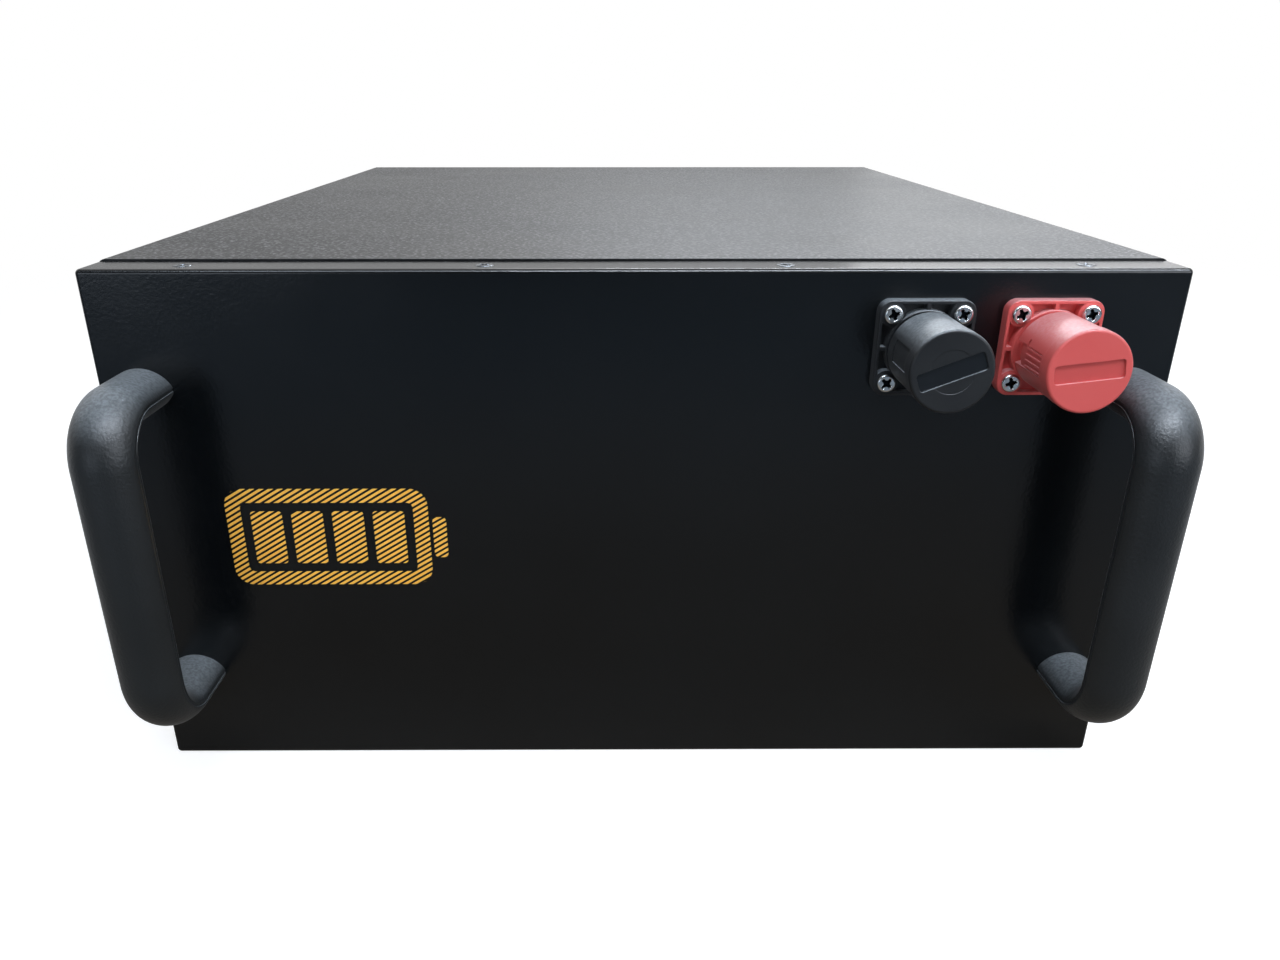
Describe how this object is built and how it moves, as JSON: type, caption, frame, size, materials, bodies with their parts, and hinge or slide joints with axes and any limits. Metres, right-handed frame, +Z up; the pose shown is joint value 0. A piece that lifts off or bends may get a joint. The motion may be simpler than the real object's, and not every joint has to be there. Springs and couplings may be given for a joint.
{
  "type": "battery box",
  "caption": "Rack-style steel battery box with U handles and capped terminals on its front panel, holding prismatic cells and their management board.",
  "frame": {"origin": "centre of the flat face that the case rests on", "axes": "+Z up, +X to the right seen from the front, +Y from the front panel to the rear"},
  "size_m": [0.442, 0.601, 0.2308],
  "materials": {
    "panel_coat": "satin",
    "cover_coat": "satin",
    "plated_steel": "satin",
    "black_screw": "satin",
    "handle_plastic": "matt",
    "zinc_screw": "bright",
    "brass": "satin",
    "black_plastic": "matt",
    "red_plastic": "matt",
    "rubber": "matt",
    "cell_wrap": "satin",
    "separator_board": "matt",
    "plain_aluminium": "satin",
    "copper": "satin",
    "board_green": "gloss",
    "black_jacket": "satin",
    "red_jacket": "satin"
  },
  "bodies": {
    "case": {"front_panel": "panel_coat", "front_frame": "plated_steel", "top_cover": "cover_coat", "base_pan": "cover_coat", "panel_screws": "black_screw", "cover_screws": "black_screw", "press_nuts": "plated_steel", "left_handle": "handle_plastic", "right_handle": "handle_plastic", "handle_screws": "zinc_screw", "handle_washers": "zinc_screw", "handle_inserts": "brass", "black_terminal_body": "black_plastic", "red_terminal_body": "red_plastic", "black_gasket": "rubber", "red_gasket": "rubber", "negative_stud": "brass", "positive_stud": "brass", "stud_washers": "zinc_screw", "stud_nuts": "zinc_screw", "terminal_screws": "zinc_screw", "terminal_nuts": "zinc_screw", "cell_01": "cell_wrap", "cell_02": "cell_wrap", "cell_03": "cell_wrap", "cell_04": "cell_wrap", "cell_05": "cell_wrap", "cell_06": "cell_wrap", "cell_07": "cell_wrap", "cell_08": "cell_wrap", "cell_09": "cell_wrap", "cell_10": "cell_wrap", "cell_11": "cell_wrap", "cell_12": "cell_wrap", "cell_13": "cell_wrap", "cell_14": "cell_wrap", "cell_15": "cell_wrap", "cell_16": "cell_wrap", "cell_separators": "separator_board", "front_end_plate": "plain_aluminium", "rear_end_plate": "plain_aluminium", "tie_bars": "plated_steel", "floor_pad": "rubber", "busbars": "copper", "busbar_nuts": "zinc_screw", "insulation_sheet": "separator_board", "bms_bracket": "plated_steel", "bms_heat_sink": "plain_aluminium", "bms_board": "board_green", "bms_tabs": "copper", "bms_screws": "zinc_screw", "cable_lugs": "copper", "negative_cell_cable": "black_jacket", "positive_cable": "red_jacket", "negative_terminal_cable": "black_jacket", "balance_harness": "black_jacket"},
    "black_seal": {"black_seal_ring": "rubber"},
    "black_cap": {"black_cap": "black_plastic"},
    "red_seal": {"red_seal_ring": "rubber"},
    "red_cap": {"red_cap": "red_plastic"}
  },
  "joints": [
    {"name": "black_cap_turn", "type": "hinge", "parent": "case", "child": "black_seal", "pos_m": [0.1159, -0.275, 0.1994], "axis": [0, -1, 0], "continuous": true},
    {"name": "black_cap_pull", "type": "slide", "parent": "black_seal", "child": "black_cap", "axis": [0, -1, 0], "range_m": [0, 0.045]},
    {"name": "red_cap_turn", "type": "hinge", "parent": "case", "child": "red_seal", "pos_m": [0.1666, -0.275, 0.1994], "axis": [0, -1, 0], "continuous": true},
    {"name": "red_cap_pull", "type": "slide", "parent": "red_seal", "child": "red_cap", "axis": [0, -1, 0], "range_m": [0, 0.045]}
  ]
}
